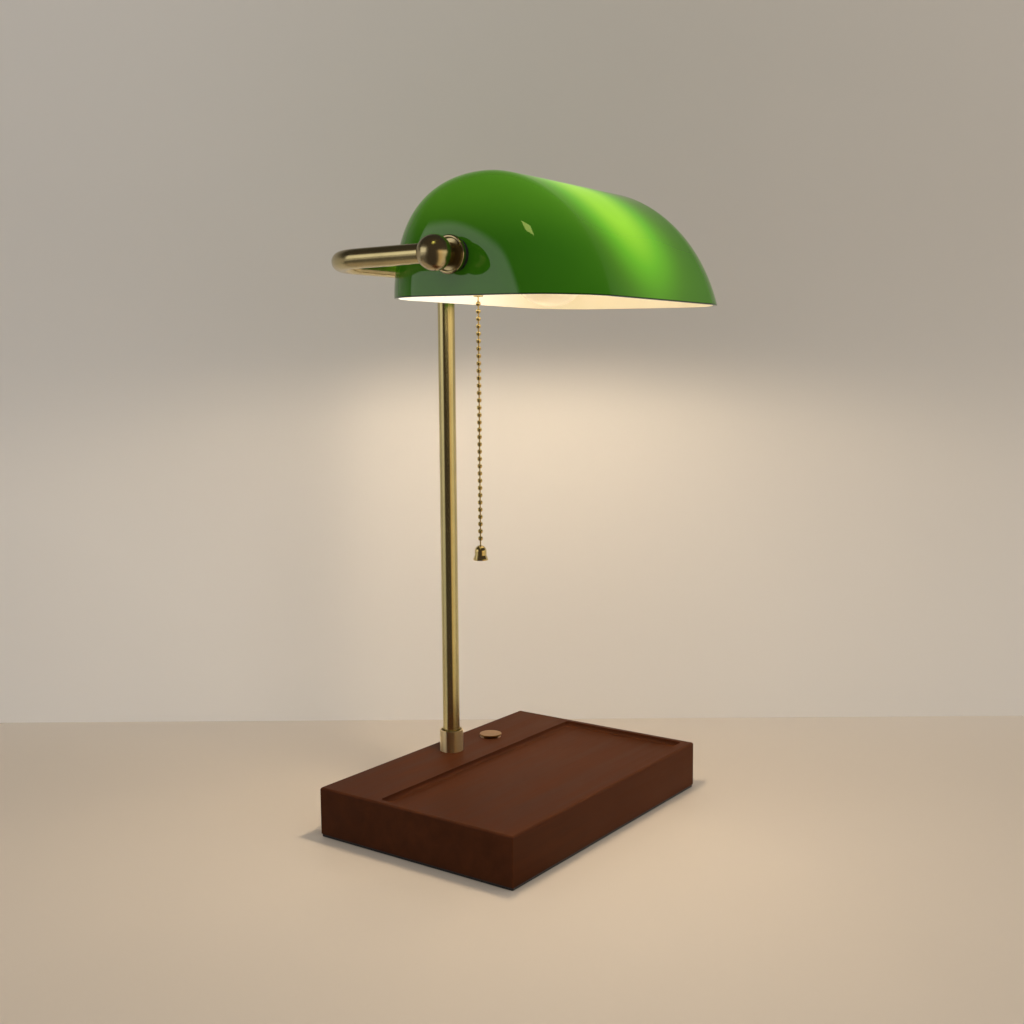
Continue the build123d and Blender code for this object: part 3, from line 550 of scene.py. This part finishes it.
def add_skin(bm, ways, inset, cut_z, outward):
    """One skin of the shade; returns its rim as a closed loop of vertices, and the rings of its two holes."""
    profile = shade_profile(inset)
    stations = shade_stations(inset)
    side = 1 if outward else -1
    grid = []
    for x, draw, turn in stations:
        row = []
        for p, n in shade_row(profile, draw, cut_z, ROW_POINTS):
            way = Vector((math.sin(turn), -n.x * math.cos(turn), -n.y * math.cos(turn)))
            row.append(corner(bm, ways, Vector((x, p.x, p.y)), way * side))
        grid.append(row)
    for a, b in zip(grid, grid[1:]):
        for i in range(ROW_POINTS - 1):
            corners = (a[i], a[i + 1], b[i + 1], b[i])
            bm.faces.new(corners if outward else corners[::-1])
    rim_lines = []
    holes = []
    for row, x, sign in ((grid[0], stations[0][0], -1), (grid[-1], stations[-1][0], 1)):
        facing = Vector((sign * side, 0, 0))
        hole = []
        for i in range(HOLE_POINTS):
            turn = 2 * math.pi * i / HOLE_POINTS
            y = TILT_Y + SHADE_HOLE_RADIUS * math.cos(turn)
            z = TILT_Z + SHADE_HOLE_RADIUS * math.sin(turn)
            hole.append(corner(bm, ways, Vector((x, y, z)), facing))
        bottom = []
        for i in range(1, CUT_STEPS):
            bottom.append(bm.verts.new(row[-1].co.lerp(row[0].co, i / CUT_STEPS)))
            ways.append(facing)
        edges = []
        for ring in (row + bottom, hole):
            for a, b in zip(ring, ring[1:] + ring[:1]):
                edges.append(bm.edges.get((a, b)) or bm.edges.new((a, b)))
        made = bmesh.ops.triangle_fill(bm, use_beauty=True, edges=edges)
        for face in [g for g in made["geom"] if isinstance(g, bmesh.types.BMFace)]:
            face.normal_update()
            if face.normal.dot(facing) < 0:
                face.normal_flip()
        rim_lines.append(bottom)
        holes.append(hole)
    backs = [row[0] for row in grid]
    fronts = [row[-1] for row in grid]
    return fronts + rim_lines[1] + backs[::-1] + rim_lines[0][::-1], holes


def add_rim_loop(bm, ways, inset, cut_z):
    """A bare closed loop in the rim's rounding, matched to the skins' rims."""
    profile = shade_profile(inset)
    rows = [(x, shade_row(profile, draw, cut_z, 2)) for x, draw, turn in shade_stations(inset)]
    fronts = [Vector((x, row[-1][0].x, cut_z)) for x, row in rows]
    backs = [Vector((x, row[0][0].x, cut_z)) for x, row in rows]
    right_line = [fronts[-1].lerp(backs[-1], i / CUT_STEPS) for i in range(1, CUT_STEPS)]
    left_line = [fronts[0].lerp(backs[0], i / CUT_STEPS) for i in range(1, CUT_STEPS)]
    return [corner(bm, ways, p) for p in fronts + right_line + backs[::-1] + left_line[::-1]]


def bridge(bm, loops):
    """Faces between neighbouring closed loops."""
    for upper, lower in zip(loops, loops[1:]):
        for i in range(len(upper)):
            k = (i + 1) % len(upper)
            bm.faces.new((upper[i], upper[k], lower[k], lower[i]))


def shade_piece(name, outer_inset, wall, rim_round, replaced, slot):
    """Closed shell of the shade between two skins, with a rounded rim."""
    bm = bmesh.new()
    ways = []
    inner_inset = outer_inset + wall
    outer_rim, outer_holes = add_skin(bm, ways, outer_inset, SHADE_RIM_Z + rim_round, True)
    loops = [outer_rim]
    for start, side, turns in ((outer_inset, 1, RIM_TURNS), (inner_inset, -1, RIM_TURNS[::-1])):
        for turn in turns:
            t = math.radians(turn)
            loops.append(add_rim_loop(bm, ways, start + side * rim_round * (1 - math.cos(t)),
                                      SHADE_RIM_Z + rim_round * (1 - math.sin(t))))
    inner_rim, inner_holes = add_skin(bm, ways, inner_inset, SHADE_RIM_Z + rim_round, False)
    bridge(bm, [inner_rim] + loops[::-1])
    bridge(bm, [inner_holes[0], outer_holes[0]])
    bridge(bm, [outer_holes[1], inner_holes[1]])
    mesh = bpy.data.meshes.new(name)
    bm.to_mesh(mesh)
    bm.free()
    mesh.shade_smooth()
    mesh.normals_split_custom_set_from_vertices(ways)
    obj = bpy.data.objects.new(name, mesh)
    scene.collection.objects.link(obj)
    mesh.materials.append(looks[slot])
    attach(obj, "shade")
    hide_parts(replaced)


shade_piece("shade_glass_skin", 0.0, GLASS_WALL, GLASS_RIM_ROUND, "shade_glass", "green_glass")
shade_piece("shade_lining_skin", GLASS_WALL, LINING_WALL, LINING_RIM_ROUND, "shade_lining", "opal_lining")


# Stage: pale floor, and a pale wall behind the lamp that is seen from its front only
def stage_plane(name, corners, look):
    mesh = bpy.data.meshes.new(name)
    mesh.from_pydata(corners, [], [(0, 1, 2, 3)])
    obj = bpy.data.objects.new(name, mesh)
    scene.collection.objects.link(obj)
    mesh.materials.append(look)
    return obj


def room_glow(tree, vector, pale_share, warm_share):
    """Colour of the room in a level direction: dim behind the camera, pale to its left, warm to its right."""
    turn = maths(tree, "ARCTAN2", dot(tree, vector, -right), dot(tree, vector, -level))
    pale = product(tree, window(tree, turn, PALE_TURNS), pale_share)
    warm = product(tree, window(tree, turn, WARM_TURNS), warm_share)
    warm_tone = mix(tree, span(tree, turn, (-1.20, -0.70), (0.0, 1.0)), ROOM_WARM, ROOM_AMBER)
    return mix(tree, warm, mix(tree, pale, ROOM_DIM, ROOM_PALE), warm_tone)


def glossy_room(tree, shader, share, room_colour):
    """Lets reflections see a colour of the room in the place of a surface, by a share."""
    path = node(tree, "ShaderNodeLightPath")
    room = node(tree, "ShaderNodeEmission")
    tree.links.new(room_colour, room.inputs["Color"])
    choose = node(tree, "ShaderNodeMixShader")
    tree.links.new(product(tree, share, path.outputs["Is Glossy Ray"]), choose.inputs["Fac"])
    tree.links.new(shader.outputs["BSDF"], choose.inputs[1])
    tree.links.new(room.outputs["Emission"], choose.inputs[2])
    return choose.outputs["Shader"]


def make_floor():
    """Pale table top, painted paler towards the wall as if more light fell there; in reflections it ends a
    little way from the lamp, where the room begins.
    """
    made, tree, shader = material("floor_painted_light_look")
    cloud = noise(tree, place(tree), scale=2.5, detail=3.0, rough=0.5)
    plain = ramp(tree, cloud, [(0.3, (0.55, 0.485, 0.415)), (0.7, (0.57, 0.505, 0.435))])
    from_pole = place(tree, offset=(0.0, -POLE_Y, 0.0))
    # Painted light: the table is painted paler behind the lamp, towards the wall.
    behind = span(tree, dot(tree, from_pole, level), (0.0, 0.40), (0.0, 1.0))
    tree.links.new(mix(tree, behind, plain, (0.64, 0.58, 0.515)), shader.inputs["Base Color"])
    put(shader, Roughness=0.5, Specular_IOR_Level=0.3)
    far = node(tree, "ShaderNodeVectorMath", operation="LENGTH")
    tree.links.new(from_pole, far.inputs[0])
    ahead = span(tree, dot(tree, from_pole, -level), (0.05, 0.16), (0.0, 1.0))
    beyond = maths(tree, "MAXIMUM", ahead, span(tree, far.outputs["Value"], (0.50, 0.90), (0.0, 1.0)))
    slant = node(tree, "ShaderNodeLayerWeight").outputs["Facing"]
    pale_share = span(tree, slant, (0.70, 0.88), (0.08, 0.55))
    seen = glossy_room(tree, shader, beyond, room_glow(tree, from_pole, pale_share, warm_share=0.70))
    tree.links.new(seen, tree.nodes["Material Output"].inputs["Surface"])
    return made


def make_wall():
    """Pale wall with painted light: paler low down and to the left, standing in for light falling there;
    darker in reflections above the lamp.
    """
    made, tree, shader = material("wall_painted_light_look")
    cloud = noise(tree, place(tree), scale=2.5, detail=3.0, rough=0.5)
    plain = ramp(tree, cloud, [(0.3, (0.605, 0.580, 0.545)), (0.7, (0.625, 0.600, 0.565))])
    height = position(tree)["Z"]
    # Painted light: the wall is painted paler low down and to the left.
    low = span(tree, height, (0.02, 0.50), (0.55, 0.0))
    left = span(tree, dot(tree, place(tree), right), (-0.50, 0.20), (0.62, 0.0))
    paler = mix(tree, maths(tree, "ADD", low, left), plain, (0.88, 0.865, 0.855))
    tree.links.new(paler, shader.inputs["Base Color"])
    put(shader, Roughness=0.8, Specular_IOR_Level=0.2)
    dim = ramp(tree, height, [(0.0, (0.060, 0.054, 0.046)), (1.0, (0.050, 0.045, 0.038))])
    seen = glossy_room(tree, shader, span(tree, height, (0.36, 0.80), (0.0, 1.0)), dim)
    clear = node(tree, "ShaderNodeBsdfTransparent")
    choose = node(tree, "ShaderNodeMixShader")
    side = node(tree, "ShaderNodeNewGeometry")
    tree.links.new(side.outputs["Backfacing"], choose.inputs["Fac"])
    tree.links.new(seen, choose.inputs[1])
    tree.links.new(clear.outputs["BSDF"], choose.inputs[2])
    tree.links.new(choose.outputs["Shader"], tree.nodes["Material Output"].inputs["Surface"])
    return made


def make_card():
    """Light card that leaves the slanted highlight on the glass."""
    made, tree, shader = material("card_look")
    cloud = noise(tree, place(tree), scale=2.0, detail=2.0, rough=0.5)
    tone = ramp(tree, cloud, [(0.3, (0.94, 1.0, 0.25)), (0.7, (0.98, 1.0, 0.27))])
    tree.links.new(tone, shader.inputs["Emission Color"])
    put(shader, Emission_Strength=5.0)
    return made


stage_plane("floor", [
    (-FLOOR_REACH, -FLOOR_REACH, -FLOOR_DROP), (FLOOR_REACH, -FLOOR_REACH, -FLOOR_DROP),
    (FLOOR_REACH, FLOOR_REACH, -FLOOR_DROP), (-FLOOR_REACH, FLOOR_REACH, -FLOOR_DROP),
], make_floor())

foot = Vector((CAMERA_AT[0], CAMERA_AT[1], 0.0)) + level * WALL_DISTANCE
up = Vector((0, 0, WALL_HEIGHT))
stage_plane("wall", [
    foot - right * FLOOR_REACH, foot + right * FLOOR_REACH,
    foot + right * FLOOR_REACH + up, foot - right * FLOOR_REACH + up,
], make_wall())

card_facing = Vector(CARD_FACING).normalized()
card_across = Vector(CARD_ACROSS)
card_across = (card_across - card_facing * card_across.dot(card_facing)).normalized()
card_up = card_facing.cross(card_across)
card_shift, card_long, card_short = (
    card_across * across + card_up * rise for across, rise in (CARD_SHIFT, CARD_LONG, CARD_SHORT))
card_at = Vector(CARD_AIM) + card_shift
card = stage_plane("light_card", [
    card_at + card_long, card_at + card_short, card_at - card_long, card_at - card_short,
], make_card())
card.visible_camera = False
card.visible_diffuse = False
card.visible_shadow = False


# Light
def add_light(name, kind, at, power, colour):
    data = bpy.data.lights.new(name, kind)
    data.energy = power
    data.color = colour
    obj = bpy.data.objects.new(name, data)
    obj.location = at
    scene.collection.objects.link(obj)
    return obj, data


def aim(obj, toward):
    obj.rotation_euler = (Vector(toward) - obj.location).to_track_quat("-Z", "Y").to_euler()


def add_soft_light(name, at, power, colour, size, toward):
    """Large round lamp that reflections don't see."""
    obj, data = add_light(name, "AREA", at, power, colour)
    data.shape = "DISK"
    data.size = size
    obj.visible_glossy = False
    aim(obj, toward)


bulb_light, bulb_data = add_light("bulb_light", "SPOT", BULB_AT, BULB_POWER, (1.0, 0.80, 0.56))
bulb_data.spot_size = math.radians(BULB_CONE)
bulb_data.spot_blend = BULB_BLEND
bulb_data.shadow_soft_size = BULB_SOFTNESS
bulb_light.visible_glossy = False
aim(bulb_light, BULB_BELOW)

bulb_glint, glint_data = add_light("bulb_glint", "POINT", GLINT_AT, GLINT_POWER, (1.0, 0.92, 0.72))
glint_data.shadow_soft_size = GLINT_RADIUS
bulb_glint.visible_diffuse = False

add_soft_light("soft_top", (-0.2, -0.5, 2.0), 12.5, (1.0, 0.97, 0.93), size=2.2, toward=(0, 0, 0.2))
add_soft_light("soft_side", (0.7, -1.6, 0.5), 6.0, (1.0, 0.86, 0.70), size=1.2, toward=(0, 0, 0.1))

world = bpy.data.worlds.new("room")
scene.world = world
world.use_nodes = True
tree = world.node_tree
background = tree.nodes["Background"]
direction = node(tree, "ShaderNodeTexCoord").outputs["Generated"]
height = dot(tree, direction, (0, 0, 1))
pale_part = window(tree, height, PALE_HEIGHTS)
warm_part = window(tree, height, WARM_HEIGHTS)
seen_room = room_glow(tree, direction, pale_part, warm_part)
path = node(tree, "ShaderNodeLightPath")
room = mix(tree, path.outputs["Is Glossy Ray"], WORLD_FILL, seen_room)
tree.links.new(room, background.inputs["Color"])
background.inputs["Strength"].default_value = 1.0

# Camera
camera_data = bpy.data.cameras.new("camera")
camera_data.sensor_width = SENSOR_WIDTH
camera_data.lens = CAMERA_LENS
camera_data.clip_start = NEAR_CLIP
camera = bpy.data.objects.new("camera", camera_data)
scene.collection.objects.link(camera)
across = math.cos(roll) * right + math.sin(roll) * down
below = -math.sin(roll) * right + math.cos(roll) * down
camera.matrix_world = Matrix((
    (across.x, -below.x, -forward.x, CAMERA_AT[0]),
    (across.y, -below.y, -forward.y, CAMERA_AT[1]),
    (across.z, -below.z, -forward.z, CAMERA_AT[2]),
    (0.0, 0.0, 0.0, 1.0),
))
scene.camera = camera
scene.view_settings.view_transform = "Standard"
